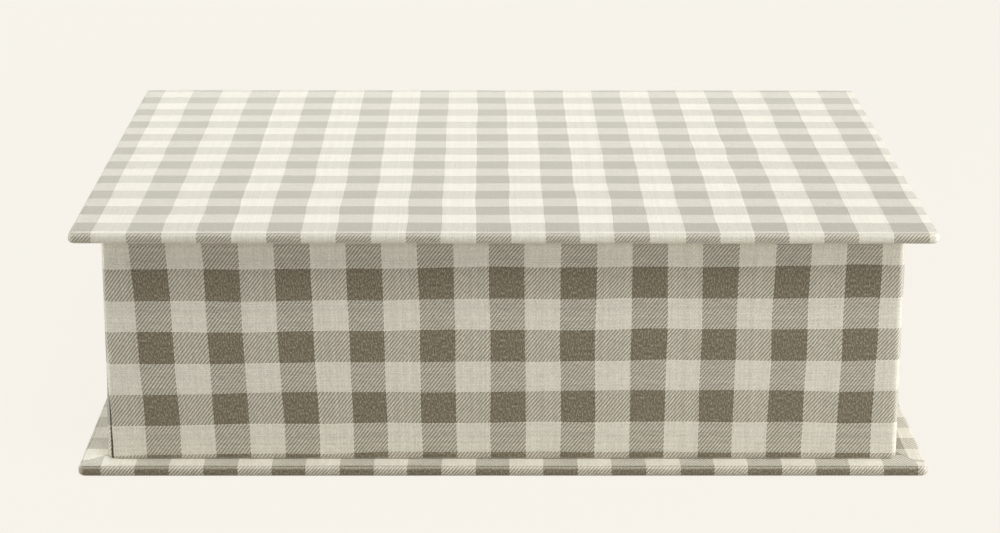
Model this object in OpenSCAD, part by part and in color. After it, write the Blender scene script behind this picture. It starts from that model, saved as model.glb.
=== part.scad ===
// Photo storage box with a hinged lid, made the way a bookbinder makes a case and a tray.
// A cloth covered tray is glued to the base and the spine of a case of three boards, and the
// third board is the lid. The same cloth runs from the base, up the spine and over the lid,
// and it bends in the joint between the spine and the lid.
// Millimetres. The origin is the middle of the underside, the front faces -Y and +Z is up.

/* [Overall size] */
// Width of the lid and of the base, over the cloth
case_w = 280; // [200:1:360]
// Depth from the front edge of the lid to the back of the spine, over the cloth
case_d = 210; // [150:1:300]
// Height of the closed box
case_h = 83; // [50:1:140]

/* [Tray] */
// How far the lid and the base stand out past the tray on the left and on the right
square_side = 9.5; // [5:0.5:14]
// How far the lid and the base stand out past the front of the tray
square_front = 7.5; // [5:0.5:14]
// Radius of the tray's upright corners, over the cloth
tray_corner_r = 2.6; // [1.6:0.1:2.8]
// Rounding of the tray's rim and foot, over the cloth
rim_r = 1.1; // [0.8:0.1:1.4]

/* [Boards] */
// Thickness of the lid board and of the base board
cover_board_t = 2.5; // [2:0.1:4]
// Thickness of the spine board
spine_board_t = 2.5; // [2:0.1:4]
// Thickness of the tray's four wall boards
wall_board_t = 2.5; // [2.4:0.1:4]
// Thickness of the tray's floor board
floor_board_t = 2; // [1:0.1:4]
// Radius of the covers' corners seen from above, over the cloth
cover_corner_r = 2.5; // [1.5:0.1:4]
// Rounding of the covers' long edges, over the cloth
cover_edge_r = 1.2; // [0.8:0.1:1.4]

/* [Cloth and paper] */
// Thickness of the covering cloth and of the hinge strip
cloth_t = 0.45; // [0.3:0.05:0.6]
// Thickness of the lining paper
paper_t = 0.25; // [0.1:0.05:0.4]
// Width of the cloth turned in over the edges of the covers and the spine
turn_in = 15; // [12:1:20]
// Depth of the cloth turned over the rim into the tray
turn_over = 15; // [8:1:25]
// Width of the cloth turned under the tray's floor
turn_under = 12; // [6:1:20]
// Width of the slit where two turned-in edges meet at a front corner
mitre_gap = 0.3; // [0.1:0.1:1]
// Cloth left bare between the lid's lining and the lid's edges
lid_margin = 4; // [3:0.5:8]
// Cloth left bare between the rim and the top of the wall lining
rim_margin = 4; // [2:0.5:7]
// Distance of the tray cloth's seam from the left front corner
seam_inset = 3; // [2.9:0.1:8]
// Width of the groove along the seam
seam_w = 0.3; // [0.1:0.1:0.8]
// Depth of the groove along the seam
seam_depth = 0.25; // [0.1:0.05:0.3]

/* [Cloth joint] */
// Free height of the joint between the covered top of the spine and the lid
joint_gap = 4.2; // [4:0.1:6]
// Distance from the lid's back edge to the joint's cloth where it meets the lid
joint_inset = 0.15; // [0.1:0.05:0.4]
// Rounding of the spine's top edge, over the cloth
joint_edge_r = 0.9; // [0.7:0.1:1.2]
// Rounding of the spine's two upright edges on the tray's side, over the cloth
spine_end_r = 0.8; // [0.7:0.1:1.2]
// Rounding at the foot of the joint's groove
joint_fillet_r = 0.6; // [0.3:0.1:1]
// Width of the hinge strip that is glued to the lid, and to the base
strip_leaf = 20; // [12:1:40]

/* [Hidden] */

$fn = 48;
// A cutter reaches this far past the face that it opens
past = 0.5;

cloth_colour = "#a79f8b";
board_colour = "#8c8880";
paper_colour = "#e9e5da";

// Covers
cover_t = cover_board_t + 2 * cloth_t;
half_w = case_w / 2;
front_y = -case_d / 2;
back_y = case_d / 2;
lid_z = case_h - cover_t;
turn_x = half_w - turn_in;
turn_y = front_y + turn_in;
skin_y = back_y - cloth_t;
leaf_y = skin_y - strip_leaf;

// Spine
spine_t = spine_board_t + 2 * cloth_t;
spine_y = back_y - spine_t;
spine_z = cover_t;
spine_top_z = lid_z - joint_gap;
spine_board_top_z = spine_top_z - cloth_t;
// The outer upright edges follow the covers' corners, as far as the spine is thick enough
least_flat = 0.1;
spine_corner_r = min(cover_corner_r, spine_t - spine_end_r - least_flat);

// Tray
tray_w = case_w - 2 * square_side;
tray_front_y = front_y + square_front;
tray_back_y = spine_y;
tray_d = tray_back_y - tray_front_y;
tray_mid_y = (tray_front_y + tray_back_y) / 2;
tray_z = cover_t;
rim_z = lid_z - paper_t;
wall_t = wall_board_t + 2 * cloth_t;
wall_z = tray_z + cloth_t;
wall_top_z = rim_z - cloth_t;
inner_w = tray_w - 2 * (cloth_t + wall_board_t);
inner_d = tray_d - 2 * (cloth_t + wall_board_t);
floor_z = wall_z;
floor_top_z = floor_z + floor_board_t;
lining_z = floor_top_z + paper_t;
turn_over_z = rim_z - turn_over;

// The joint's cloth leans from the spine board's inner top edge to the lid's back edge. The
// lean is found in steps, because the cloth's own thickness takes up some of the way.
joint_foot_y = spine_y + cloth_t;
joint_rise = lid_z - spine_board_top_z;
joint_reach = back_y - joint_inset - joint_foot_y;
function lean_after(steps) =
    steps == 0
        ? atan(joint_reach / joint_rise)
        : atan((joint_reach - cloth_t / cos(lean_after(steps - 1))) / joint_rise);
joint_lean = lean_after(steps = 8);
// Where the cloth lies at a height, for a layer that starts so far outside the board's face
function joint_y(z, outside) =
    joint_foot_y + (z - spine_board_top_z) * tan(joint_lean) + outside / cos(joint_lean);
joint_bend_z = spine_board_top_z + cloth_t * (1 - cos(joint_lean)) / sin(joint_lean);
// Middle of the round foot of the groove, on the outside of the cloth
joint_fillet_z = spine_top_z + joint_fillet_r;
joint_fillet_y = joint_y(joint_fillet_z, cloth_t + joint_fillet_r);

// Outlines

// The waste outside a round corner whose square corner is at the origin
module corner_waste(r) {
    difference() {
        translate([-past, -past])
            square(r + past);
        translate([r, r])
            circle(r);
    }
}

// Rectangle from the origin, with a radius for each corner: low left, low right, high
// right, high left. A radius of 0 leaves the corner square.
module soft_rect(w, h, radii) {
    difference() {
        square([w, h]);
        if (radii[0] > 0)
            corner_waste(radii[0]);
        if (radii[1] > 0)
            translate([w, 0])
                mirror([1, 0])
                    corner_waste(radii[1]);
        if (radii[2] > 0)
            translate([w, h])
                rotate(180)
                    corner_waste(radii[2]);
        if (radii[3] > 0)
            translate([0, h])
                mirror([0, 1])
                    corner_waste(radii[3]);
    }
}

// An outline drawn in Y and Z becomes a bar along X, centred on X = 0
module along_x(length) {
    rotate([90, 0, 90])
        translate([0, 0, -length / 2])
            linear_extrude(length)
                children();
}

// An outline drawn in X and Z becomes a bar along Y, centred on Y = 0
module along_y(length) {
    rotate([90, 0, 0])
        translate([0, 0, -length / 2])
            linear_extrude(length)
                children();
}

// Box given by its two corners
module block(low, high) {
    translate(low)
        cube(high - low);
}

// Covers: the lid and the base

// One cover, less a skin of the given depth. Its edges are round, apart from the back edge
// on the tray's side, where the cloth runs on into the spine.
module cover_form(skin, tray_side_up) {
    w = case_w - 2 * skin;
    d = case_d - 2 * skin;
    t = cover_t - 2 * skin;
    r = cover_corner_r - skin;
    edge = cover_edge_r - skin;
    low_back = tray_side_up ? edge : 0;
    high_back = tray_side_up ? 0 : edge;
    translate([0, 0, skin])
        intersection() {
            translate([-w / 2, -d / 2, 0])
                linear_extrude(t)
                    soft_rect(w, d, [r, r, r, r]);
            along_x(w)
                translate([-d / 2, 0])
                    soft_rect(d, t, [edge, low_back, high_back, edge]);
            along_y(d)
                translate([-w / 2, 0])
                    soft_rect(w, t, [edge, edge, edge, edge]);
        }
}

// Slit of a mitre, from the inner corner of the turned-in cloth towards the cover's corner
module mitre_slits(z) {
    reach = turn_in * sqrt(2) - cover_corner_r;
    for (side = [-1, 1])
        translate([side * turn_x, turn_y, z])
            rotate(side > 0 ? -45 : -135)
                translate([-past, -mitre_gap / 2, 0])
                    cube([reach + past, mitre_gap, cloth_t]);
}

// Cloth round a cover: both faces at the edges, and open inside the turned-in margins
module cover_cloth(tray_side_up) {
    open_low = tray_side_up ? cover_t - cloth_t : -past;
    open_high = tray_side_up ? cover_t + past : cloth_t;
    difference() {
        cover_form(0, tray_side_up);
        cover_form(cloth_t, tray_side_up);
        block([-turn_x, turn_y, open_low], [turn_x, skin_y, open_high]);
        mitre_slits(tray_side_up ? cover_t - cloth_t : 0);
    }
}

module base_board() {
    color(board_colour)
        cover_form(cloth_t, true);
}

module base_cloth() {
    color(cloth_colour)
        cover_cloth(true);
}

module lid_board() {
    color(board_colour)
        translate([0, 0, lid_z])
            cover_form(cloth_t, false);
}

module lid_cloth() {
    color(cloth_colour)
        translate([0, 0, lid_z])
            cover_cloth(false);
}

// The hinge strip's leaf on the underside of the lid
module lid_hinge_leaf() {
    color(cloth_colour)
        block([-turn_x, leaf_y, lid_z], [turn_x, skin_y, lid_z + cloth_t]);
}

// The lid's lining lies on the board, and steps over the turned-in cloth and the leaf
module lid_lining() {
    color(paper_colour)
        difference() {
            union() {
                block([-half_w + lid_margin, front_y + lid_margin, rim_z],
                    [half_w - lid_margin, back_y - lid_margin, lid_z]);
                block([-turn_x, turn_y, rim_z], [turn_x, leaf_y, lid_z + cloth_t]);
            }
            block([-turn_x + paper_t, turn_y + paper_t, rim_z - past],
                [turn_x - paper_t, leaf_y - paper_t, lid_z + cloth_t - paper_t]);
        }
}

// Spine and cloth joint

// The spine seen from above, less a skin of the given depth
module spine_plan(skin, height) {
    w = case_w - 2 * skin;
    inner_r = spine_end_r - skin;
    outer_r = spine_corner_r - skin;
    translate([-w / 2, spine_y + skin, 0])
        linear_extrude(height)
            soft_rect(w, spine_t - 2 * skin, [inner_r, inner_r, outer_r, outer_r]);
}

// The spine board seen from the side
module spine_board_section() {
    translate([joint_foot_y, spine_z])
        soft_rect(spine_board_t, spine_board_top_z - spine_z, [0, 0, joint_edge_r - cloth_t, 0]);
}

// The hinge strip seen from the side: up the inside of the spine board, then leaning out
module strip_section() {
    polygon([
        [spine_y, spine_z],
        [joint_foot_y, spine_z],
        [joint_foot_y, spine_board_top_z],
        [joint_y(lid_z, 0), lid_z],
        [joint_y(lid_z, -cloth_t), lid_z],
        [spine_y, joint_bend_z],
    ]);
}

// The covered spine seen from the side, up to the foot of the joint's groove
module covered_spine_section() {
    difference() {
        polygon([
            [spine_y, spine_z],
            [back_y, spine_z],
            [back_y, spine_top_z],
            [joint_y(spine_top_z, -cloth_t), spine_top_z],
            [spine_y, joint_bend_z],
        ]);
        translate([back_y, spine_top_z])
            rotate(180)
                corner_waste(joint_edge_r);
    }
}

// The two layers of cloth that lean across the joint, seen from the side
module joint_section() {
    polygon([
        [spine_y, joint_bend_z],
        [joint_y(joint_bend_z, cloth_t), joint_bend_z],
        [joint_y(lid_z, cloth_t), lid_z],
        [joint_y(lid_z, -cloth_t), lid_z],
    ]);
    difference() {
        polygon([
            [joint_y(spine_top_z, cloth_t), spine_top_z],
            [joint_fillet_y, spine_top_z],
            [joint_fillet_y, joint_fillet_z],
            [joint_fillet_y - joint_fillet_r * cos(joint_lean),
                joint_fillet_z + joint_fillet_r * sin(joint_lean)],
        ]);
        translate([joint_fillet_y, joint_fillet_z])
            circle(joint_fillet_r);
    }
}

module spine_board() {
    color(board_colour)
        intersection() {
            along_x(case_w)
                spine_board_section();
            spine_plan(cloth_t, case_h);
        }
}

module spine_cloth() {
    color(cloth_colour)
        difference() {
            union() {
                intersection() {
                    along_x(case_w)
                        covered_spine_section();
                    spine_plan(0, case_h);
                }
                along_x(case_w - 2 * spine_corner_r)
                    joint_section();
            }
            spine_board();
            along_x(2 * turn_x)
                strip_section();
        }
}

// The hinge strip lines the spine and the joint, and its foot lies on the base board
module hinge_strip() {
    color(cloth_colour) {
        along_x(2 * turn_x)
            strip_section();
        block([-turn_x, leaf_y, spine_z - cloth_t], [turn_x, skin_y, spine_z]);
    }
}

// Tray

// A wall seen end on, with its outside at 0
module wall_section(t, h, edge) {
    soft_rect(t, h, [edge, 0, edge, edge]);
}

// A quarter of a round post, which turns the corner between two walls
module corner_post(r, h, edge) {
    rotate_extrude(angle = 90)
        soft_rect(r, h, [0, edge, edge, 0]);
}

// The four walls in one, less a skin of the given depth on every side
module wall_ring(skin) {
    w = tray_w / 2 - skin;
    d = tray_d / 2 - skin;
    t = wall_t - 2 * skin;
    h = rim_z - tray_z - 2 * skin;
    r = tray_corner_r - skin;
    edge = rim_r - skin;
    translate([0, tray_mid_y, tray_z + skin]) {
        for (turn = [0, 180])
            rotate(turn) {
                translate([0, -d, 0])
                    along_x(2 * (w - r))
                        wall_section(t, h, edge);
                translate([-w, 0, 0])
                    along_y(2 * (d - r))
                        wall_section(t, h, edge);
                translate([w - r, d - r, 0])
                    corner_post(r, h, edge);
                translate([r - w, d - r, 0])
                    rotate(90)
                        corner_post(r, h, edge);
            }
    }
}

// A length of the ring of walls, cut out by a box in plan
module wall_part(low, high) {
    intersection() {
        wall_ring(cloth_t);
        block([low[0], low[1], tray_z], [high[0], high[1], rim_z]);
    }
}

module front_wall() {
    color(board_colour)
        wall_part([-half_w, front_y], [half_w, tray_mid_y - inner_d / 2]);
}

module back_wall() {
    color(board_colour)
        wall_part([-half_w, tray_mid_y + inner_d / 2], [half_w, back_y]);
}

module left_wall() {
    color(board_colour)
        wall_part([-half_w, tray_mid_y - inner_d / 2], [-inner_w / 2, tray_mid_y + inner_d / 2]);
}

module right_wall() {
    color(board_colour)
        wall_part([inner_w / 2, tray_mid_y - inner_d / 2], [half_w, tray_mid_y + inner_d / 2]);
}

// A box centred on the tray in plan
module tray_block(w, d, z_low, z_high) {
    block([-w / 2, tray_mid_y - d / 2, z_low], [w / 2, tray_mid_y + d / 2, z_high]);
}

module tray_floor() {
    color(board_colour)
        tray_block(inner_w, inner_d, floor_z, floor_top_z);
}

// The tray's cloth: outside the walls, over the rim and a little way down inside, and under
// the floor, with its seam on the front wall beside the left corner
module wall_cloth() {
    seam_x = -tray_w / 2 + seam_inset;
    color(cloth_colour)
        difference() {
            union() {
                wall_ring(0);
                tray_block(inner_w, inner_d, tray_z, floor_z);
            }
            wall_ring(cloth_t);
            tray_block(inner_w, inner_d, floor_z, turn_over_z);
            tray_block(inner_w - 2 * turn_under, inner_d - 2 * turn_under, tray_z - past, floor_z + past);
            block([seam_x, tray_front_y - past, tray_z - past],
                [seam_x + seam_w, tray_front_y + seam_depth, rim_z - rim_r]);
        }
}

// Paper round the walls, which steps over the cloth that is turned in from the rim
module wall_lining() {
    proud = 2 * cloth_t;
    sheet = 2 * paper_t;
    color(paper_colour)
        difference() {
            tray_block(inner_w, inner_d, lining_z, turn_over_z);
            tray_block(inner_w - sheet, inner_d - sheet, lining_z - past, turn_over_z - paper_t);
            tray_block(inner_w - proud - sheet, inner_d - proud - sheet, lining_z, turn_over_z + past);
        }
    color(paper_colour)
        difference() {
            tray_block(inner_w - proud, inner_d - proud, turn_over_z - paper_t, rim_z - rim_margin);
            tray_block(inner_w - proud - sheet, inner_d - proud - sheet, lining_z, rim_z);
        }
}

module floor_lining() {
    color(paper_colour)
        tray_block(inner_w, inner_d, floor_top_z, lining_z);
}

base_board();
base_cloth();
spine_board();
spine_cloth();
hinge_strip();
tray_floor();
front_wall();
back_wall();
left_wall();
right_wall();
wall_cloth();
wall_lining();
floor_lining();
lid_board();
lid_cloth();
lid_hinge_leaf();
lid_lining();
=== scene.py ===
# A photo storage box: greyboard covers and tray, wrapped in one gingham cotton twill.
import math

import bmesh
import bpy
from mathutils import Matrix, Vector


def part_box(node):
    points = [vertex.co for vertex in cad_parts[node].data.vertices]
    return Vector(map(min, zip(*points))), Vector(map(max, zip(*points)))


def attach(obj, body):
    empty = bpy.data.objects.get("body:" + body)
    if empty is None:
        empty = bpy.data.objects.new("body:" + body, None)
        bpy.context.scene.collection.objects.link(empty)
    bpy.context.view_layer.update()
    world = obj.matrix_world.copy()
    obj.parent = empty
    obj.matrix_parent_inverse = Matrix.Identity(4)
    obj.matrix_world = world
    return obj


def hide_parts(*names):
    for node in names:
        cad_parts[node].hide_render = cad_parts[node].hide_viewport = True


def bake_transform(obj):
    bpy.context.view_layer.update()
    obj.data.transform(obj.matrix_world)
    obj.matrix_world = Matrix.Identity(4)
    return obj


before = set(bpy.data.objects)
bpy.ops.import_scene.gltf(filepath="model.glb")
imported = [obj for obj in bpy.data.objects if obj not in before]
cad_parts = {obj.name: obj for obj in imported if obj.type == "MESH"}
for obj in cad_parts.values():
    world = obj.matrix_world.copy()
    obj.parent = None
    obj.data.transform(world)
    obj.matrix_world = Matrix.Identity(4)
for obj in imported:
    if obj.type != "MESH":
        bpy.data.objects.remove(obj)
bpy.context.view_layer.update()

MM = 0.001


# Sizes of the cloth and the boards, in metres

CLOTH_T = 0.45 * MM
# The cloth turned in on a cover's inner face and inside the tray, and turned under the tray
TURN_IN = 15 * MM
TURN_UNDER = 12 * MM
# Rounds of the covers, the tray, the spine's ends and the joint at the back
CORNER_R = 2.5 * MM
EDGE_R = 1.2 * MM
TRAY_CORNER_R = 2.6 * MM
RIM_R = 1.1 * MM
SPINE_CORNER_R = 2.5 * MM
SPINE_END_R = 0.8 * MM
JOINT_EDGE_R = 0.9 * MM
JOINT_FILLET_R = 0.6 * MM
# The joint's cloth meets the lid so far in from its back edge
JOINT_INSET = 0.15 * MM
# Flat cloth between a rounded edge and the large flat face beside it, and the width of both
FLAT = 0.5 * MM
EDGE_BAND = EDGE_R + FLAT
# Width of the slit between two turned-in flaps
SLIT = 0.25 * MM
# The rounded top of the spine's end is drawn in to so far from its middle
END_CORE = 0.3 * MM
# The mitres of the flaps, left and right: where each starts behind the front edge, the power of
# its curve, and how far in from the side it has run its course
BASE_MITRES = [(4.5 * MM, 1.0, 12.7 * MM), (4.5 * MM, 1.8, 8.8 * MM)]
LID_MITRES = [(CORNER_R, 1.0, TURN_IN)] * 2
# Height over which the hinge's cloth turns with the lid
BEND_H = 1.0 * MM

# The seam of the tray's cloth lies so far round the left front corner, from the front face: at
# the foot, and above it from a height on
SEAM_AT_FOOT = 1.15 * MM
SEAM_ABOVE_FOOT = 1.75 * MM
SEAM_FOOT_H = 22 * MM
# Higher up it runs on to the side: from a height on, over a rise, and so far
SEAM_TURN_START = 18 * MM
SEAM_TURN_H = 22 * MM
SEAM_TURN = 4.7 * MM
# Half the gap between the two edges of the cloth at the seam
SEAM_GAP = 0.12 * MM
# The front edge frays by so much, in two waves in radians to a millimetre, the second shifted
FRAY = 0.12 * MM
FRAY_WAVES = (7.3, 2.9)
FRAY_SHIFT = 1.1
# Over this length behind the corner, the side's cloth follows the seam
SEAM_SIDE = 8 * MM
# Over this length its faces are narrow, and the first of them is so wide
NEAR_SEAM = 30 * MM
NEAR_SEAM_STEP = 2 * MM
# The side's cloth stands off at the seam by so much, up to a height and back to a depth
STAND_OFF = 0.6 * MM
STAND_OFF_H = 30 * MM
STAND_OFF_DEPTH = 25 * MM

# How often the lean of the joint is worked out anew
LEAN_ROUNDS = 8
# Into how many faces a round, a curve or a long flat stretch is divided
ARC_STEPS = 6
CORNER_STEPS = 8
FILLET_STEPS = 5
MITRE_STEPS = 10
LEAN_STEPS = 3
BEND_STEPS = 6
WALL_LEVELS = 60
WALL_STEPS = 20
SIDE_STEPS = 16
NEAR_SEAM_STEPS = 10
SEAM_STEPS = 14
# Corners of one face that are nearer than this are one, and points of a sheet nearer than the
# next are joined
SAME_SPOT = 1e-7
WELD = 2e-6
# Less than this counts as nothing
TINY = 1e-6

lid_low, lid_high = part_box("lid_cloth")
tray_low, tray_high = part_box("wall_cloth")
inside_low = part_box("wall_lining")[0]

half_w = lid_high.x
front_y = lid_low.y
back_y = lid_high.y
lid_z = lid_low.z
base_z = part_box("base_cloth")[1].z
spine_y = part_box("spine_cloth")[0].y
strip_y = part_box("lid_hinge_leaf")[0].y
turn_x = half_w - TURN_IN
spine_x = half_w - SPINE_CORNER_R

# The cloth joint between the spine and the lid, as in the solids. The leaning cloth takes up
# some of the reach, and more the more it leans, so the lean is closed in on
spine_board_top_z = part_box("spine_board")[1].z
spine_top_z = spine_board_top_z + CLOTH_T
joint_foot_y = spine_y + CLOTH_T
joint_rise = lid_z - spine_board_top_z
joint_reach = back_y - JOINT_INSET - joint_foot_y
joint_lean = math.atan(joint_reach / joint_rise)
for _ in range(LEAN_ROUNDS):
    joint_lean = math.atan((joint_reach - CLOTH_T / math.cos(joint_lean)) / joint_rise)


def joint_y(z, outside):
    """Where the leaning cloth lies at a height, for a layer that starts so far outside the board."""
    return joint_foot_y + (z - spine_board_top_z) * math.tan(joint_lean) + outside / math.cos(joint_lean)


joint_bend_z = spine_board_top_z + CLOTH_T * (1 - math.cos(joint_lean)) / math.sin(joint_lean)


# The woven piece: the place of a thread is given in metres along the warp and the weft

CHECK_W = 22.4 * MM
CHECK_H = 20.27 * MM
# A dark stripe reaches so far to each side of a whole number of checks
HALF_STRIPE = 0.25
# On the lid: columns counted from a dark one, and rows from a light one
LID_LEFT_COLUMN = -0.095
LID_FRONT_ROW = 0.085
# On the tray's front, the same at its left and right corners, counted from a dark column and
# a dark row. The rows bow a little towards the foot
TRAY_TOP_COLUMNS = (-0.65, 10.57)
TRAY_FOOT_COLUMNS = (-0.81, 10.65)
TRAY_TOP_ROWS = (-0.75, -0.67)
TRAY_FOOT_ROWS = (2.79, 2.84)
TRAY_ROW_BOW = 0.05
# Yarns to one check, counted on the photographed box
WARP_COUNT = 76
WEFT_COUNT = 55
# The dark row on the front of the base starts so far in from the edge, on top
BASE_DARK_START = 1.3 * MM


def lid_warp(x):
    return x + half_w + LID_LEFT_COLUMN * CHECK_W


def lid_weft(y):
    return y - front_y + (LID_FRONT_ROW + 0.5) * CHECK_H


def mix(a, b, share):
    return a + (b - a) * share


def clamp(value, low=0.0, high=1.0):
    return max(low, min(high, value))


# Mesh building

def arc(centre, radius, start, end, steps):
    """Points on an arc in a plane, from one angle to the other, in degrees."""
    spots = []
    for i in range(steps + 1):
        a = math.radians(mix(start, end, i / steps))
        spots.append((centre[0] + radius * math.cos(a), centre[1] + radius * math.sin(a)))
    return spots


def lengths(path):
    """How far along a path of points each of them lies."""
    run, found = 0.0, [0.0]
    for a, b in zip(path, path[1:]):
        run += math.dist(a, b)
        found.append(run)
    return found


class Sheet:
    """A sheet of cloth, gathered from grids and flat outlines of (place, weave) pairs."""

    def __init__(self, name):
        self.name = name
        self.mesh = bmesh.new()
        self.weave = self.mesh.loops.layers.uv.new("weave")

    def face(self, corners):
        """Adds one face, and leaves out corners that lie on one another."""
        kept = []
        for corner in corners:
            if not kept or math.dist(corner[0], kept[-1][0]) > SAME_SPOT:
                kept.append(corner)
        while len(kept) > 1 and math.dist(kept[0][0], kept[-1][0]) <= SAME_SPOT:
            kept.pop()
        if len(kept) < 3:
            return
        made = self.mesh.faces.new([self.mesh.verts.new(place) for place, _ in kept])
        for loop, (_, weave) in zip(made.loops, kept):
            loop[self.weave].uv = weave

    def grid(self, rows):
        """Adds the faces between rows of equally many points."""
        for row, after in zip(rows, rows[1:]):
            for i in range(len(row) - 1):
                self.face([row[i], row[i + 1], after[i + 1], after[i]])

    def make(self, facing, thickness=CLOTH_T):
        """Joins the faces, turns the one nearest to the first point outwards along the second,
        and gives the cloth its thickness inwards."""
        bm = self.mesh
        bmesh.ops.remove_doubles(bm, verts=bm.verts, dist=WELD)
        bmesh.ops.dissolve_degenerate(bm, dist=SAME_SPOT, edges=bm.edges)
        bmesh.ops.recalc_face_normals(bm, faces=bm.faces)
        near, outwards = Vector(facing[0]), Vector(facing[1])
        nearest = min(bm.faces, key=lambda f: (f.calc_center_median() - near).length)
        if nearest.normal.dot(outwards) < 0:
            bmesh.ops.reverse_faces(bm, faces=bm.faces)
        mesh = bpy.data.meshes.new(self.name)
        bm.to_mesh(mesh)
        bm.free()
        piece = bpy.data.objects.new(self.name, mesh)
        bpy.context.scene.collection.objects.link(piece)
        if thickness:
            solidify = piece.modifiers.new("thickness", "SOLIDIFY")
            solidify.thickness = thickness
            solidify.offset = -1
            solidify.use_even_offset = True
            solidify.use_quality_normals = True
            apply_modifiers(piece)
        soften(piece)
        return piece


def apply_modifiers(piece):
    evaluated = piece.evaluated_get(bpy.context.evaluated_depsgraph_get())
    mesh = bpy.data.meshes.new_from_object(evaluated)
    piece.modifiers.clear()
    piece.data = mesh
    mesh.name = piece.name


def soften(piece, angle=40):
    for face in piece.data.polygons:
        face.use_smooth = True
    piece.data.set_sharp_from_angle(angle=math.radians(angle))


# Stations along an edge

def corner_stations(centre, radius, start, end, along, turn=1):
    """Stations round an upright corner, from one angle to another in degrees. Each is (centre,
    outward direction, the cloth's way along)."""
    made = []
    for i in range(CORNER_STEPS + 1):
        share = i / CORNER_STEPS
        a = math.radians(mix(start, end, share))
        swept = radius * math.radians(abs(end - start)) * share
        made.append((Vector(centre), Vector((math.cos(a), math.sin(a))), along + turn * swept))
    return made


def straight_stations(start, end, outwards, along, steps):
    """Stations from one spot to another."""
    length = math.dist(start, end)
    made = []
    for i in range(steps + 1):
        share = i / steps
        spot = Vector((mix(start[0], end[0], share), mix(start[1], end[1], share)))
        made.append((spot, Vector(outwards), along + length * share))
    return made


# Covers: the base and the lid

def edge_profile(thick, inner_r, inner_flat, foot=0.0):
    """The cloth round a cover's edge, seen end on, as (inset, height above the inner face).
    It runs from the outer face to the inner one."""
    path = [(EDGE_BAND, thick)]
    path += [(EDGE_R - x, thick - EDGE_R + y) for x, y in arc((0, 0), EDGE_R, 90, 0, ARC_STEPS)]
    for x, y in arc((0, 0), 1.0, 0, -90, ARC_STEPS):
        path.append((inner_r * (1 - x), inner_r * (1 + y)))
    path.append((inner_r + inner_flat + foot, 0.0))
    return path


def cover_stations(mitres):
    """Stations along the four edges of a cover. The front takes in its two corners and reaches
    back to where the mitres start, and the back takes in its own two."""
    cx = half_w - CORNER_R
    cy_front, cy_back = front_y + CORNER_R, back_y - CORNER_R
    quarter = CORNER_R * math.pi / 2
    left_y, right_y = (front_y + max(start, CORNER_R) for start, _, _ in mitres)
    front = []
    if left_y > cy_front:
        front.append((Vector((-cx, left_y)), Vector((-1, 0)), -(cx + quarter + left_y - cy_front)))
    front += corner_stations((-cx, cy_front), CORNER_R, 180, 270, -(cx + quarter))
    front += corner_stations((cx, cy_front), CORNER_R, 270, 360, cx)
    if right_y > cy_front:
        front.append((Vector((cx, right_y)), Vector((1, 0)), cx + quarter + right_y - cy_front))
    back = corner_stations((cx, cy_back), CORNER_R, 0, 90, cx + quarter, -1)
    back += corner_stations((-cx, cy_back), CORNER_R, 90, 180, -cx, -1)
    return {
        "front": front,
        "right": [(Vector((cx, y)), Vector((1, 0)), 0.0) for y in (right_y, cy_back)],
        "back": back,
        "left": [(Vector((-cx, y)), Vector((-1, 0)), 0.0) for y in (cy_back, left_y)],
    }


def inner_rounding(kind, number, count):
    """How much of its full round a cover's inner edge has at a station. The back edge has none,
    and it grows round the back's corners."""
    if kind != "back":
        return 1.0
    return clamp(abs(2 * number - count + 1) - 1, 0, 2 * CORNER_STEPS) / (2 * CORNER_STEPS)


def mitre(side, course, away, z):
    """A flap's slanting edge, so far in front of or behind the middle of the slit."""
    start, power, reach = course
    start = max(start, EDGE_BAND)
    spots = []
    for i in range(MITRE_STEPS + 1):
        aside = mix(EDGE_BAND, TURN_IN, i / MITRE_STEPS)
        inward = start + (TURN_IN - start) * clamp(aside / reach) ** power
        spots.append((side * (half_w - aside), front_y + inward + away, z))
    return spots


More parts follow.
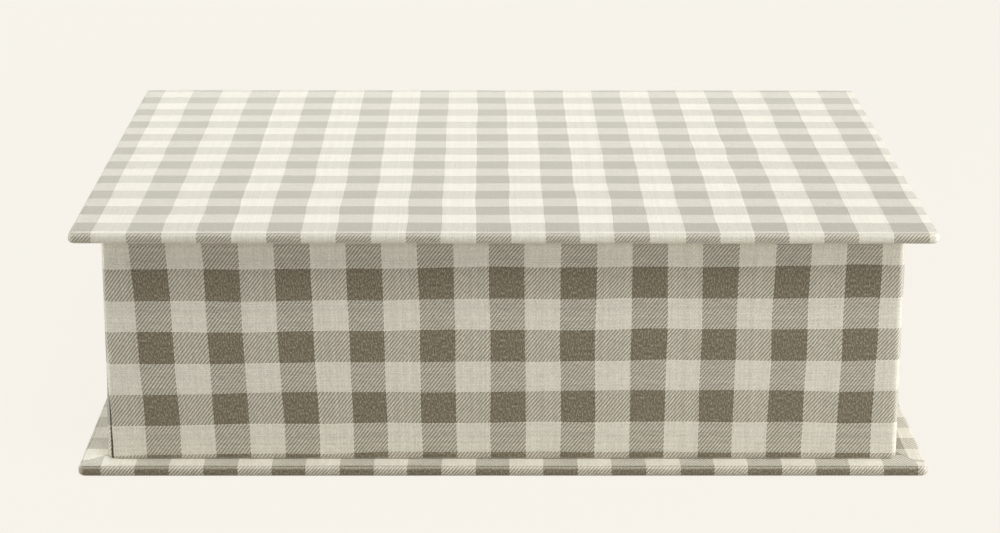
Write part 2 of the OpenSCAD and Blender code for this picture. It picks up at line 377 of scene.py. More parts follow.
def cover_cloth(name, node, upwards, weft_out, mitres):
    """The cloth of a cover: its outer face, its four wrapped edges and the flaps turned in.
    upwards is 1 where the outer face is the upper one, or -1, weft_out gives the weave's way on
    that face, and mitres has (start, power, reach) for the left and the right."""
    low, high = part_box(node)
    thick = high.z - low.z
    inner_z = low.z if upwards > 0 else high.z
    grow = 1 if weft_out(back_y) > weft_out(front_y) else -1
    total = lengths(edge_profile(thick, EDGE_R, FLAT))[-1]
    # On the base the back edge runs straight on into the spine, on the lid into the joint
    end_foot = JOINT_INSET if upwards > 0 else 0.0
    sheet = Sheet(name)

    def on_outside(x, y):
        return (lid_warp(x), weft_out(y))

    def on_front_flap(x, y):
        front_start = front_y + EDGE_BAND
        return (lid_warp(x), weft_out(front_start) - grow * (total + y - front_start))

    def on_side_flap(x, y):
        side = math.copysign(1, x)
        flat_x = half_w - EDGE_BAND
        return (lid_warp(side * (flat_x + total + flat_x - abs(x))), weft_out(y))

    def on_edge(kind, station, spot, run):
        """At the sides the weave runs straight on from the outer face. At the front and the back
        it also passes from the flat faces' way to the edge's own, round the corners."""
        if kind in ("left", "right"):
            side = -1 if kind == "left" else 1
            return (lid_warp(side * (half_w - EDGE_BAND + run)), weft_out(spot[1]))
        if kind == "front":
            edge_weft = weft_out(front_y + EDGE_BAND) - grow * run
        else:
            edge_weft = weft_out(back_y - EDGE_BAND) + grow * run
        wrapped = (lid_warp(station[2]), edge_weft)
        outside = kind == "back" or run < total / 2
        plain = on_outside(*spot[:2]) if outside else on_front_flap(*spot[:2])
        reach = (run if outside else total - run) - FLAT
        share = clamp(reach / (EDGE_R * math.pi / 2))
        return tuple(mix(p, w, share) for p, w in zip(plain, wrapped))

    def wrap(kind, stations):
        rows = []
        for number, station in enumerate(stations):
            centre, outwards, _ = station
            full = inner_rounding(kind, number, len(stations))
            path = edge_profile(thick, EDGE_R * full, FLAT * full, (1 - full) * end_foot)
            row = []
            for (inset, height), run in zip(path, lengths(path)):
                flat = centre + outwards * (CORNER_R - inset)
                spot = (flat.x, flat.y, inner_z + upwards * height)
                row.append((spot, on_edge(kind, station, spot, run)))
            rows.append(row)
        sheet.grid(rows)
        return rows

    def flap(outline, weave):
        sheet.face([(spot, weave(*spot[:2])) for spot in outline])

    rows = {kind: wrap(kind, stations) for kind, stations in cover_stations(mitres).items()}
    flap([row[0][0] for kind in rows for row in rows[kind]], on_outside)

    # The flaps, each up to its mitres
    inner = {kind: [row[-1][0] for row in rows[kind]] for kind in rows}
    gap = SLIT / 2
    left_mitre, right_mitre = mitres
    flap(inner["front"] + mitre(1, right_mitre, -gap, inner_z)[1:]
         + mitre(-1, left_mitre, -gap, inner_z)[1:][::-1], on_front_flap)
    middle = len(inner["back"]) // 2
    right_end, left_end = ((side * turn_x, inner["back"][middle][1], inner_z) for side in (1, -1))
    flap(inner["right"] + inner["back"][:middle] + [right_end]
         + mitre(1, right_mitre, gap, inner_z)[1:][::-1], on_side_flap)
    flap(inner["back"][middle:] + inner["left"] + mitre(-1, left_mitre, gap, inner_z)[1:]
         + [left_end], on_side_flap)
    return sheet.make(((0, 0, inner_z + upwards * thick), (0, 0, upwards)))


# The spine and the cloth joint

def joint_heights(start_z):
    """Heights along the leaning cloth, close together where it bends with the lid."""
    bend = lid_z - BEND_H
    below = [mix(start_z, bend, i / LEAN_STEPS) for i in range(LEAN_STEPS)]
    return below + [mix(bend, lid_z, i / BEND_STEPS) for i in range(BEND_STEPS + 1)]


def spine_path():
    """The outside of the spine and the joint in (y, z), from the lid down to the base."""
    tilt = math.degrees(joint_lean)
    fillet_z = spine_top_z + JOINT_FILLET_R
    fillet_y = joint_y(fillet_z, CLOTH_T + JOINT_FILLET_R)
    touch_z = fillet_z + JOINT_FILLET_R * math.sin(joint_lean)
    path = [(joint_y(z, CLOTH_T), z) for z in joint_heights(touch_z)][::-1]
    path += arc((fillet_y, fillet_z), JOINT_FILLET_R, 180 - tilt, 270, FILLET_STEPS)[1:]
    path += arc((back_y - JOINT_EDGE_R, spine_top_z - JOINT_EDGE_R), JOINT_EDGE_R, 90, 0, ARC_STEPS)
    path.append((back_y, base_z))
    return path


def back_weft(run):
    """The weave's way down the back, at a distance from the lid's lower back edge."""
    return lid_weft(back_y - EDGE_BAND) + lid_edge_run + run


lid_edge_run = lengths(edge_profile(lid_high.z - lid_z, 0.0, 0.0, JOINT_INSET))[-1]
spine_run = lengths(spine_path())[-1]


def spine_end_plan():
    """The spine's end in (x, y): the outer corner, the side and the small corner on the tray's
    side."""
    plan = arc((spine_x, back_y - SPINE_CORNER_R), SPINE_CORNER_R, 90, 0, CORNER_STEPS)
    plan += arc((half_w - SPINE_END_R, spine_y + SPINE_END_R), SPINE_END_R, 0, -90, ARC_STEPS)
    return plan + [(spine_x, spine_y)]


def tucked(x, y, tuck):
    """A spot of that plan, drawn in by so much where the top of the end is rounded over."""
    spot = Vector((x, y))
    middle = Vector((spine_x, (spine_y + back_y) / 2))
    inwards = spot - middle
    if x <= spine_x + TINY:
        return Vector((x, y - tuck)) if y > middle.y else spot
    far = max(inwards.length, TINY)
    if y < back_y - JOINT_EDGE_R:
        tuck = max(min(tuck, far - END_CORE), 0)
    return spot - inwards * (tuck / far)


def spine_end(sheet, side):
    """The upright end of the spine on one side, with its rounded top."""
    plan = spine_end_plan()
    ways = [spine_x + run for run in lengths(plan)]
    top_run = spine_run - (spine_top_z - base_z)
    rise = spine_top_z - base_z - JOINT_EDGE_R
    levels = [(0, 0), (rise, 0)]
    levels += [(rise + y, JOINT_EDGE_R - x) for x, y in arc((0, 0), JOINT_EDGE_R, 0, 90, ARC_STEPS)]
    rows = []
    for height, tuck in levels:
        z = base_z + height
        weft = back_weft(top_run + spine_top_z - z)
        row = []
        for (x, y), way in zip(plan, ways):
            spot = tucked(x, y, tuck)
            row.append(((side * spot.x, spot.y, z), (lid_warp(side * way), weft)))
        rows.append(row)
    sheet.grid(rows)
    sheet.face([(spot, (lid_warp(spot[0]), back_weft(top_run) - (spot[1] - back_y)))
                for spot, _ in rows[-1]])


def spine_turn_in(sheet, side):
    """The cloth turned in on the tray's side, up to the joint and across it to the lid."""
    way = spine_x + lengths(spine_end_plan())[-1]
    path = [(spine_y, base_z), (spine_y, spine_top_z)]
    path += [(joint_y(z, -CLOTH_T), z) for z in joint_heights(spine_top_z)[1:]]
    rows = []
    for (y, z), run in zip(path, lengths(path)):
        weft = back_weft(spine_run - run)
        rows.append([((side * spine_x, y, z), (lid_warp(side * way), weft)),
                     ((side * turn_x, y, z), (lid_warp(side * (way + spine_x - turn_x)), weft))])
    sheet.grid(rows)


def joint_fold(sheet, side):
    """The folded end of the joint, from its outer cloth to its inner one."""
    rows = []
    for z in joint_heights(spine_top_z):
        weft = back_weft(lid_z - z)
        rows.append([((side * spine_x, joint_y(z, away), z), (lid_warp(side * (spine_x + along)), weft))
                     for away, along in ((CLOTH_T, 0), (-CLOTH_T, CLOTH_T))])
    sheet.grid(rows)


def spine_cloth():
    """The cloth over the spine's back and the outside of the joint, and round the two ends."""
    sheet = Sheet("spine_covering")
    path = spine_path()
    sheet.grid([[((x, y, z), (lid_warp(x), back_weft(run))) for x in (-spine_x, spine_x)]
                for (y, z), run in zip(path, lengths(path))])
    for side in (-1, 1):
        spine_end(sheet, side)
        spine_turn_in(sheet, side)
        joint_fold(sheet, side)
    return sheet.make(((0, back_y, (base_z + spine_top_z) / 2), (0, 1, 0)))


def strip_path():
    """The inner strip in (y, z): on the base, up the spine, over the joint and under the lid."""
    path = [(strip_y, base_z), (spine_y, base_z), (spine_y, joint_bend_z)]
    path += [(joint_y(z, -CLOTH_T), z) for z in joint_heights(joint_bend_z)[1:]]
    path.append((strip_y, lid_z))
    return path


def hinge_strip():
    """The inner strip, as wide as the space between the side flaps."""
    sheet = Sheet("hinge_cloth")
    path = strip_path()
    rows = []
    for (y, z), run in zip(path, lengths(path)):
        rows.append([((x, y, z), (lid_warp(x), run)) for x in (-turn_x, turn_x)])
    sheet.grid(rows)
    return sheet.make(((0, spine_y, (base_z + spine_top_z) / 2), (0, -1, 0)))


# The tray

def tray_weave(x, z, along):
    """The weave's place on the tray's outside. The cloth was drawn tighter at the rim."""
    across = clamp((along + tray_high.x) / (2 * tray_high.x))
    beyond = along - clamp(along, -tray_high.x, tray_high.x)
    down = (tray_high.z - z) / (tray_high.z - tray_low.z)
    column = mix(mix(*TRAY_TOP_COLUMNS, across), mix(*TRAY_FOOT_COLUMNS, across), down)
    sideways = clamp((x + tray_high.x) / (2 * tray_high.x))
    row = mix(mix(*TRAY_TOP_ROWS, sideways), mix(*TRAY_FOOT_ROWS, sideways), down)
    row += TRAY_ROW_BOW * clamp(down) * 4 * sideways * (1 - sideways)
    return (column * CHECK_W + beyond, -row * CHECK_H)


def ease(share):
    share = clamp(share)
    return share * share * (3 - 2 * share)


def seam_place(z):
    """How far round the left front corner, from the front face, the side's cloth meets the
    front's. Near the foot the seam shows at the front, and higher up it runs on to the side."""
    height = z - tray_low.z
    low = clamp(height / SEAM_FOOT_H)
    high = ease((height - SEAM_TURN_START) / SEAM_TURN_H)
    return mix(SEAM_AT_FOOT, SEAM_ABOVE_FOOT, low) + high * SEAM_TURN


def stand_off(z, behind):
    """How far the side's cloth stands off to the left at that seam, near the foot."""
    return STAND_OFF * ease(1 - (z - tray_low.z) / STAND_OFF_H) * ease(1 - behind / STAND_OFF_DEPTH)


def ragged(z):
    """How far the front cloth's frayed edge strays at a height."""
    short, long = (z / MM * wave for wave in FRAY_WAVES)
    return FRAY * math.sin(short) * math.sin(long + FRAY_SHIFT)


def wall_section():
    """The tray's cloth seen end on, as (inset, height): its outside from under the tray over the
    rim to the inside, and back along the walls. Also how far along the cloth each point lies."""
    low_z, high_z = tray_low.z, tray_high.z
    wall_t = inside_low.x - tray_low.x + CLOTH_T
    foot_in = wall_t - CLOTH_T + TURN_UNDER
    inner_z = high_z - TURN_IN
    foot = arc((0, 0), RIM_R, 0, -90, ARC_STEPS)
    outer_rim = arc((0, 0), RIM_R, 180, 90, ARC_STEPS)
    inner_rim = arc((0, 0), RIM_R, 90, 0, ARC_STEPS)
    outer = [(foot_in, low_z), (RIM_R + FLAT, low_z)]
    outer += [(RIM_R + y, low_z + RIM_R - x) for x, y in foot]
    outer += [(0, mix(low_z + RIM_R, high_z - RIM_R, i / WALL_LEVELS)) for i in range(1, WALL_LEVELS)]
    outer += [(RIM_R + x, high_z - RIM_R + y) for x, y in outer_rim]
    outer += [(wall_t - RIM_R + x, high_z - RIM_R + y) for x, y in inner_rim]
    outer.append((wall_t, inner_z))
    runs = lengths(outer)
    under = [(wall_t - CLOTH_T, inner_z), (wall_t - CLOTH_T, high_z - CLOTH_T),
             (CLOTH_T, high_z - CLOTH_T), (CLOTH_T, low_z + CLOTH_T), (foot_in, low_z + CLOTH_T)]
    runs += [runs[-1], runs[-1] - TURN_IN, runs[1] + high_z - low_z, runs[1], 0.0]
    return outer + under, runs


# The middles of the tray's corner rounds, and the way round one
tray_cx = tray_high.x - TRAY_CORNER_R
tray_cy_front = tray_low.y + TRAY_CORNER_R
tray_cy_back = tray_high.y - TRAY_CORNER_R
tray_quarter = TRAY_CORNER_R * math.pi / 2


def tray_stations():
    """Stations from the front's left end round the tray to near the front end of the left side,
    and the number of the first one where the cloth stands off."""
    far_y = tray_cy_front + NEAR_SEAM
    sides = [
        ((-tray_cx, tray_cy_front), (tray_cx, tray_cy_front), (0, -1), 270),
        ((tray_cx, tray_cy_front), (tray_cx, tray_cy_back), (1, 0), 0),
        ((tray_cx, tray_cy_back), (-tray_cx, tray_cy_back), (0, 1), 90),
    ]
    way = -tray_cx
    made = []
    for start, end, outwards, angle in sides:
        made += straight_stations(start, end, outwards, way, WALL_STEPS)
        way += math.dist(start, end)
        made += corner_stations(end, TRAY_CORNER_R, angle, angle + 90, way)[1:-1]
        way += tray_quarter
    made += straight_stations((-tray_cx, tray_cy_back), (-tray_cx, far_y), (-1, 0), way, SIDE_STEPS)
    way += tray_cy_back - far_y + NEAR_SEAM_STEP
    near = straight_stations((-tray_cx, far_y - NEAR_SEAM_STEP), (-tray_cx, tray_cy_front + SEAM_SIDE),
                             (-1, 0), way, NEAR_SEAM_STEPS)
    return made + near, len(made)


def by_the_seam(run, along):
    """The station so far round the left front corner, or behind it, from the front face."""
    a = math.radians(270) - min(run / TRAY_CORNER_R, math.pi / 2)
    centre = Vector((-tray_cx, tray_cy_front + max(0.0, run - tray_quarter)))
    return (centre, Vector((math.cos(a), math.sin(a))), along)


def front_edge(z, share):
    """A station on the front's cloth, at a share of its way round the corner to the seam."""
    reach = (seam_place(z) - SEAM_GAP + ragged(z)) * share
    return by_the_seam(reach, -tray_cx - reach)


def side_edge(z, share, way):
    """A station on the side's cloth, at a share of its last stretch up to the seam."""
    start = tray_quarter + SEAM_SIDE
    reach = mix(start, seam_place(z) + SEAM_GAP, share)
    return by_the_seam(reach, way + start - reach)


def tray_spot(station, inset, z, stands_off):
    """The place of a point of the section. Inside the tray its corners are square."""
    centre, outwards, _ = station
    spot = centre + outwards * (TRAY_CORNER_R - inset)
    if stands_off and inset <= TRAY_CORNER_R:
        spot.x -= stand_off(z, max(0.0, centre.y - tray_cy_front))
        spot.y = max(spot.y, tray_low.y + inset)
    elif inset > TRAY_CORNER_R:
        if abs(outwards.x) > TINY and abs(outwards.y) > TINY:
            spot = centre.copy()
        spot.x = clamp(spot.x, -tray_high.x + inset, tray_high.x - inset)
        spot.y = clamp(spot.y, tray_low.y + inset, tray_high.y - inset)
    return (spot.x, spot.y, z)


def wall_cloth():
    """The tray's cloth, with its own thickness: it runs from the seam at the left front corner
    round the front, the right, the back and the left side to the seam again."""
    sheet = Sheet("tray_covering")
    section, runs = wall_section()
    foot_run = runs[1]
    rim_run = foot_run + tray_high.z - tray_low.z

    def loop_of(station_at, stands_off=False):
        """The whole section at a station that may shift with the height."""
        made = []
        for (inset, z), run in zip(section, runs):
            station = station_at(z)
            spot = tray_spot(station, inset, z, stands_off)
            past_rim = max(0.0, run - rim_run)
            before_foot = max(0.0, foot_run - run)
            column, rising = tray_weave(spot[0], tray_high.z if past_rim else z, station[2])
            made.append((spot, (column, rising + past_rim - before_foot)))
        return made

    stations, first_near = tray_stations()
    way = stations[-1][2]
    loops = [loop_of(lambda z: front_edge(z, share)) for share in (1.0, 0.6, 0.3)]
    loops += [loop_of(lambda z: station, number >= first_near) for number, station in enumerate(stations)]
    loops += [loop_of(lambda z: side_edge(z, i / SEAM_STEPS, way), True) for i in range(1, SEAM_STEPS + 1)]
    sheet.grid([loop + loop[:1] for loop in loops])
    sheet.face(loops[0])
    sheet.face(loops[-1][::-1])
    return sheet.make(((0, tray_low.y, (tray_low.z + tray_high.z) / 2), (0, -1, 0)), 0)


# Materials

def linear(code):
    """An sRGB hex colour as linear red, green, blue and alpha."""
    parts = [int(code[i:i + 2], 16) / 255 for i in (1, 3, 5)]
    return tuple(c / 12.92 if c <= 0.04045 else ((c + 0.055) / 1.055) ** 2.4 for c in parts) + (1.0,)


def add(tree, kind, settings=None, links=None):
    """Adds a shader node, with its settings and what its inputs take: a value, another node's
    output, or a node, which stands for its first output."""
    node = tree.nodes.new("ShaderNode" + kind)
    for key, value in (settings or {}).items():
        setattr(node, key, value)
    for key, value in (links or {}).items():
        if isinstance(value, bpy.types.Node):
            value = value.outputs[0]
        if isinstance(value, bpy.types.NodeSocket):
            tree.links.new(value, node.inputs[key])
        else:
            node.inputs[key].default_value = value
    return node


def new_material(name):
    material = bpy.data.materials.new(name)
    material.use_nodes = True
    tree = material.node_tree
    tree.nodes.clear()
    return material, tree


# How much a yarn's shade differs from the next one's, and along its own length
OWN_SHADE = 0.22
SLUB_SHADE = 0.60
# Thick and thin places along a yarn, one in 2.5 mm, and how far apart in the noise yarns lie
SLUBS = 0.4 / MM
YARN_APART = 7.31
# The share of its own width that a yarn covers
YARN_FILL = 0.8


def gingham_twill():
    """Yarn dyed cotton twill, woven two over and two under in two colours. Where a dark and a
    light yarn cross, the eye sees fine slanting lines, and where like meets like a plain check."""
    material, tree = new_material("yarn_dyed_cotton_twill")
    weave = add(tree, "UVMap", {"uv_map": "weave"})
    # Threads wander by a quarter of a millimetre over a few centimetres
    drift = add(tree, "TexNoise", {"noise_dimensions": "2D"},
                {"Vector": weave, "Scale": 0.03 / MM, "Detail": 1.0}).outputs["Color"]
    centred = add(tree, "VectorMath", {"operation": "SUBTRACT"}, {0: drift, 1: (0.5, 0.5, 0.5)})
    moved = add(tree, "VectorMath", {"operation": "MULTIPLY_ADD"},
                {0: centred, 1: (1.2 * MM, 1.2 * MM, 0.0), 2: weave})
    parts = add(tree, "SeparateXYZ", None, {0: moved})
    across, along = parts.outputs[0], parts.outputs[1]
    # Each yarn has a whole number. Every warp yarn passes over two and under two, and the next
    # one does so one yarn further on
    warp = add(tree, "Math", {"operation": "DIVIDE"}, {0: across, 1: CHECK_W / WARP_COUNT})
    weft = add(tree, "Math", {"operation": "DIVIDE"}, {0: along, 1: CHECK_H / WEFT_COUNT})
    warp_number = add(tree, "Math", {"operation": "FLOOR"}, {0: warp})
    weft_number = add(tree, "Math", {"operation": "FLOOR"}, {0: weft})
    further = add(tree, "Math", {"operation": "SUBTRACT"}, {0: warp_number, 1: weft_number})
    step = add(tree, "Math", {"operation": "FLOORED_MODULO"}, {0: further, 1: 4.0})
    warp_on_top = add(tree, "Math", {"operation": "LESS_THAN"}, {0: step, 1: 2.0})

    def dark_stripe(number, per_check):
        """1 where a yarn's middle lies in a dark stripe, and 0 in a light one."""
        middle = add(tree, "Math", {"operation": "ADD"}, {0: number, 1: 0.5})
        checks = add(tree, "Math", {"operation": "MULTIPLY_ADD"},
                     {0: middle, 1: 1 / per_check, 2: HALF_STRIPE})
        share = add(tree, "Math", {"operation": "FRACT"}, {0: checks})
        return add(tree, "Math", {"operation": "LESS_THAN"}, {0: share, 1: 2 * HALF_STRIPE})

    def yarn_shade(number, along_yarn):
        """By how much to scale a yarn's colour: about 1, a little different from the next yarn's,
        and varying along its length."""
        own = add(tree, "TexWhiteNoise", {"noise_dimensions": "1D"}, {"W": number}).outputs["Value"]
        apart = add(tree, "Math", {"operation": "MULTIPLY"}, {0: number, 1: YARN_APART})
        length = add(tree, "Math", {"operation": "MULTIPLY"}, {0: along_yarn, 1: SLUBS})
        place = add(tree, "CombineXYZ", None, {0: apart, 1: length})
        slub = add(tree, "TexNoise", {"noise_dimensions": "2D"},
                   {"Vector": place, "Scale": 1.0, "Detail": 2.0}).outputs["Fac"]
        varied = add(tree, "Math", {"operation": "MULTIPLY_ADD"},
                     {0: slub, 1: SLUB_SHADE, 2: 1 - (OWN_SHADE + SLUB_SHADE) / 2})
        return add(tree, "Math", {"operation": "MULTIPLY_ADD"}, {0: own, 1: OWN_SHADE, 2: varied})

    def yarn(number, per_check, along_yarn, light, dark):
        """The colour of a yarn: the Mix node takes its colours at 6 and 7, and gives one at 2."""
        stripe = dark_stripe(number, per_check)
        colour = add(tree, "Mix", {"data_type": "RGBA"}, {0: stripe, 6: linear(light), 7: linear(dark)})
        shade = yarn_shade(number, along_yarn)
        return add(tree, "VectorMath", {"operation": "SCALE"}, {0: colour.outputs[2], "Scale": shade})

    def crown(place):
        """A yarn is round: it stands highest in its middle."""
        share = add(tree, "Math", {"operation": "FRACT"}, {0: place})
        off = add(tree, "Math", {"operation": "SUBTRACT"}, {0: share, 1: 0.5})
        square = add(tree, "Math", {"operation": "MULTIPLY"}, {0: off, 1: off})
        return add(tree, "Math", {"operation": "MULTIPLY_ADD"}, {0: square, 1: -4.0, 2: 1.0})

    warp_yarn = yarn(warp_number, WARP_COUNT, along, "#dfdbcc", "#5b5139")
    weft_yarn = yarn(weft_number, WEFT_COUNT, across, "#d9d5c6", "#655a41")
    height = add(tree, "Mix", {"data_type": "FLOAT"}, {0: warp_on_top, 2: crown(weft), 3: crown(warp)})
    # Between two yarns the crossing one shows through
    between = add(tree, "Math", {"operation": "LESS_THAN"}, {0: height, 1: 1 - YARN_FILL ** 2})
    differ = add(tree, "Math", {"operation": "SUBTRACT"}, {0: warp_on_top, 1: between})
    warp_shows = add(tree, "Math", {"operation": "ABSOLUTE"}, {0: differ})
    woven = add(tree, "Mix", {"data_type": "RGBA"}, {0: warp_shows, 6: weft_yarn, 7: warp_yarn})
    # Loose fibres lie over the weave, mostly along the warp, and lighten the dark yarns in specks.
    # Fibres are finer than the render shows, so the specks are 0.4 mm wide and 0.9 mm long
    combed = add(tree, "VectorMath", {"operation": "MULTIPLY"}, {0: weave, 1: (2.6 / MM, 1.1 / MM, 0.0)})
    fuzz = add(tree, "TexNoise", {"noise_dimensions": "2D"},
               {"Vector": combed, "Scale": 1.0, "Detail": 3.0}).outputs["Fac"]
    nap = add(tree, "MapRange", None,
              {"Value": fuzz, "From Min": 0.44, "From Max": 0.72, "To Min": 0.0, "To Max": 0.40})
    napped = add(tree, "Mix", {"data_type": "RGBA"}, {0: nap, 6: woven.outputs[2], 7: linear("#d2cab3")})
    relief = add(tree, "Math", {"operation": "MULTIPLY_ADD"}, {0: fuzz, 1: 0.6, 2: height})
    bump = add(tree, "Bump", None, {"Height": relief, "Distance": 0.06 * MM, "Strength": 0.5})
    # Where the cloth turns sharply over a board's edge it is painted paler: partly rubbed wear, partly a
    # painted highlight for the light that rounded edges catch
    facing = add(tree, "TexCoord").outputs["Normal"]
    unsigned = add(tree, "VectorMath", {"operation": "ABSOLUTE"}, {0: facing})
    sides = add(tree, "SeparateXYZ", None, {0: unsigned}).outputs
    level = add(tree, "Math", {"operation": "MAXIMUM"}, {0: sides[0], 1: sides[1]})
    squarest = add(tree, "Math", {"operation": "MAXIMUM"}, {0: level, 1: sides[2]})
    fold = add(tree, "MapRange", {"interpolation_type": "SMOOTHSTEP"},
               {"Value": squarest, "From Min": 0.98, "From Max": 0.75, "To Min": 0.0, "To Max": 0.22})
    # The pale edge tone is part rubbed wear and part painted highlight
    worn_and_highlit = add(tree, "Mix", {"data_type": "RGBA"}, {0: fold, 6: napped.outputs[2], 7: linear("#f4efe2")})
    shader = add(tree, "BsdfPrincipled", None, {
        "Base Color": worn_and_highlit.outputs[2], "Roughness": 0.7, "Specular IOR Level": 1.0,
        "Specular Tint": (1.0, 0.985, 0.92, 1.0), "Sheen Weight": 0.8, "Sheen Roughness": 0.4,
        "Sheen Tint": (1.0, 0.98, 0.89, 1.0), "Normal": bump})
    add(tree, "OutputMaterial", None, {"Surface": shader})
    return material


def greyboard():
    """Grey bookbinder's board, pressed from waste paper: matt, with pale and dark flecks of
    about a millimetre."""
    material, tree = new_material("greyboard")
    place = add(tree, "TexCoord").outputs["Object"]
    flecks = add(tree, "TexNoise", None, {"Vector": place, "Scale": 0.9 / MM, "Detail": 3.0})
    ramp = add(tree, "ValToRGB", None, {"Fac": flecks})
    for stop, position, tone in zip(ramp.color_ramp.elements, (0.3, 0.7), ("#6f6b64", "#a29d93")):
        stop.position = position
        stop.color = linear(tone)
    bump = add(tree, "Bump", None, {"Height": flecks, "Distance": 0.05 * MM, "Strength": 0.4})
    shader = add(tree, "BsdfPrincipled", None, {"Base Color": ramp, "Roughness": 0.9, "Normal": bump})
    add(tree, "OutputMaterial", None, {"Surface": shader})
    return material


def lining_paper():
    """Uncoated wood-free paper: nearly white, matt, with faint clouds of a few millimetres where
    fibres lie thicker. The fibres in its surface are drawn half a millimetre wide, to show."""
    material, tree = new_material("uncoated_lining_paper")
    place = add(tree, "TexCoord").outputs["Object"]
    clouds = add(tree, "TexNoise", None, {"Vector": place, "Scale": 0.26 / MM, "Detail": 4.0})
    fibres = add(tree, "TexNoise", None, {"Vector": place, "Scale": 2.2 / MM, "Detail": 2.0})
    ramp = add(tree, "ValToRGB", None, {"Fac": clouds})
    for stop, position, tone in zip(ramp.color_ramp.elements, (0.35, 0.65), ("#e2ddd0", "#e9e5da")):
        stop.position = position
        stop.color = linear(tone)
    bump = add(tree, "Bump", None, {"Height": fibres, "Distance": 0.03 * MM, "Strength": 0.3})
    shader = add(tree, "BsdfPrincipled", None, {"Base Color": ramp, "Roughness": 0.85, "Normal": bump})
    add(tree, "OutputMaterial", None, {"Surface": shader})
    return material


def studio_floor():
    """A matt pale sweep. The camera sees part of it as a plain tone, and the box still shades it."""
    material, tree = new_material("studio_floor")
    paint = add(tree, "BsdfDiffuse", None, {"Color": linear("#bdbab4")})
    glow = add(tree, "Emission", None, {"Color": linear(BACKDROP), "Strength": 1.03})
    ray = add(tree, "LightPath").outputs["Is Camera Ray"]
    share = add(tree, "Math", {"operation": "MULTIPLY"}, {0: ray, 1: 0.94})
    both = add(tree, "MixShader", None, {0: share, 1: paint, 2: glow})
    add(tree, "OutputMaterial", None, {"Surface": both})
    return material


# Building

cloth = gingham_twill()
board = greyboard()
paper = lining_paper()

BOARDS = ["base_board", "spine_board", "lid_board", "tray_floor",
          "front_wall", "back_wall", "left_wall", "right_wall"]
PAPERS = ["wall_lining", "floor_lining", "lid_lining"]


def finish_node(node, material):
    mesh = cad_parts[node].data
    mesh.materials.clear()
    mesh.materials.append(material)


for node in BOARDS:
    finish_node(node, board)
for node in PAPERS:
    finish_node(node, paper)

# The rows run on from the lid, down the back and under the base. Under the base they are
# spread a little, so that a dark row meets the front edge as it does on the real box
under_back = back_weft(spine_run) + lengths(edge_profile(base_z, 0.0, 0.0))[-1]
base_total = lengths(edge_profile(base_z, EDGE_R, FLAT))[-1]
dark_end = base_total - (EDGE_BAND - BASE_DARK_START)
under_length = 2 * (back_y - EDGE_BAND)
whole_rows = round((under_back + under_length + dark_end) / CHECK_H - HALF_STRIPE)
under_rows = whole_rows + HALF_STRIPE
under_front = under_rows * CHECK_H - dark_end


def under_weft(y):
    share = (back_y - EDGE_BAND - y) / under_length
    return mix(under_back, under_front, share)


base_piece = cover_cloth("base_covering", "base_cloth", -1, under_weft, BASE_MITRES)
lid_piece = cover_cloth("lid_covering", "lid_cloth", 1, lid_weft, LID_MITRES)
spine_piece = spine_cloth()
strip_piece = hinge_strip()
tray_piece = wall_cloth()

for piece in (base_piece, lid_piece, spine_piece, strip_piece, tray_piece):
    piece.data.materials.clear()
    piece.data.materials.append(cloth)

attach(base_piece, "box")
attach(tray_piece, "box")
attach(lid_piece, "lid")
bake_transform(spine_piece)
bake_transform(strip_piece)
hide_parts("base_cloth")
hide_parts("lid_cloth")
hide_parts("spine_cloth")
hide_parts("hinge_strip", "lid_hinge_leaf")
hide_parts("wall_cloth")

# The inner strip's length along its path. On the real box three of the cloth pieces are one sheet of 315
# by 532 mm. Round the tray, a rounded corner is shorter than a square one
strip_l = lengths(strip_path())[-1]


# Camera, floor and light

# The lens, the place and the turn were fitted to the corners of the lid, the tray and the base
camera_data = bpy.data.cameras.new("camera")
camera_data.sensor_fit = "HORIZONTAL"
camera_data.sensor_width = 36
camera_data.lens = 95.04
camera = bpy.data.objects.new("camera", camera_data)
camera.location = (-0.00625, -0.91839, 0.31357)
camera.rotation_euler = [math.radians(a) for a in (73.473, -0.115, -0.316)]
bpy.context.scene.collection.objects.link(camera)
bpy.context.scene.camera = camera

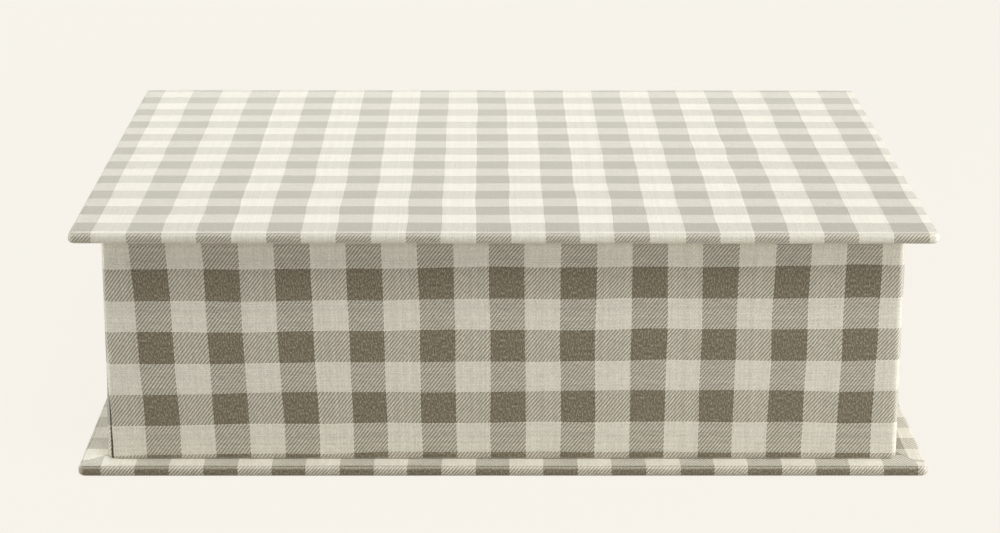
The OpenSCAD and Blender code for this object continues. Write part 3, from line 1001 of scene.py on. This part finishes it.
# Half the floor's width, and how far it lies below the box
FLOOR_HALF = 6.0
FLOOR_GAP = 0.2 * MM
BACKDROP = "#f7f3eb"
floor_mesh = bpy.data.meshes.new("studio_floor")
floor_corners = [(x * FLOOR_HALF, y * FLOOR_HALF, -FLOOR_GAP)
                 for x, y in ((-1, -1), (1, -1), (1, 1), (-1, 1))]
floor_mesh.from_pydata(floor_corners, [], [(0, 1, 2, 3)])
floor = bpy.data.objects.new("studio_floor", floor_mesh)
floor_mesh.materials.append(studio_floor())
bpy.context.scene.collection.objects.link(floor)

# What the panels face: a point in the box, above the middle of its foot
LIT_POINT = Vector((0, 0, 50 * MM))


def softbox(name, place, size, strength):
    """A soft panel of light that faces the box. It lights a surface that faces it to the given
    share of white."""
    data = bpy.data.lights.new(name, "AREA")
    data.shape = "RECTANGLE"
    data.size, data.size_y = size
    towards = Vector(place) - LIT_POINT
    data.energy = strength * math.pi ** 2 * towards.length_squared
    lamp = bpy.data.objects.new(name, data)
    lamp.location = place
    lamp.rotation_euler = towards.to_track_quat("Z", "Y").to_euler()
    bpy.context.scene.collection.objects.link(lamp)


softbox("overhead_softbox", (0.20, -0.52, 1.15), (0.5, 0.5), 0.58)
softbox("front_softbox", (0.90, -1.30, 0.42), (0.8, 0.7), 0.36)
softbox("back_softbox", (-0.40, 1.60, 0.52), (1.6, 0.6), 0.50)
softbox("right_softbox", (1.35, 0.14, 0.22), (0.9, 0.4), 0.84)
softbox("left_softbox", (-1.35, 0.12, 0.22), (0.9, 0.4), 0.82)

world = bpy.data.worlds.new("studio")
bpy.context.scene.world = world
world.use_nodes = True
tree = world.node_tree
tree.nodes.clear()
# The camera sees the backdrop, and the box is lit by a weaker white
path_node = add(tree, "LightPath")
seen = add(tree, "Math", {"operation": "MAXIMUM"},
           {0: path_node.outputs["Is Camera Ray"], 1: path_node.outputs["Is Transmission Ray"]})
around = add(tree, "Background", None, {"Color": (1, 1, 1, 1), "Strength": 0.11})
backdrop = add(tree, "Background", None, {"Color": linear(BACKDROP), "Strength": 1.0})
sky = add(tree, "MixShader", None, {0: seen, 1: around, 2: backdrop})
add(tree, "OutputWorld", None, {"Surface": sky})
bpy.context.scene.view_settings.view_transform = "Standard"
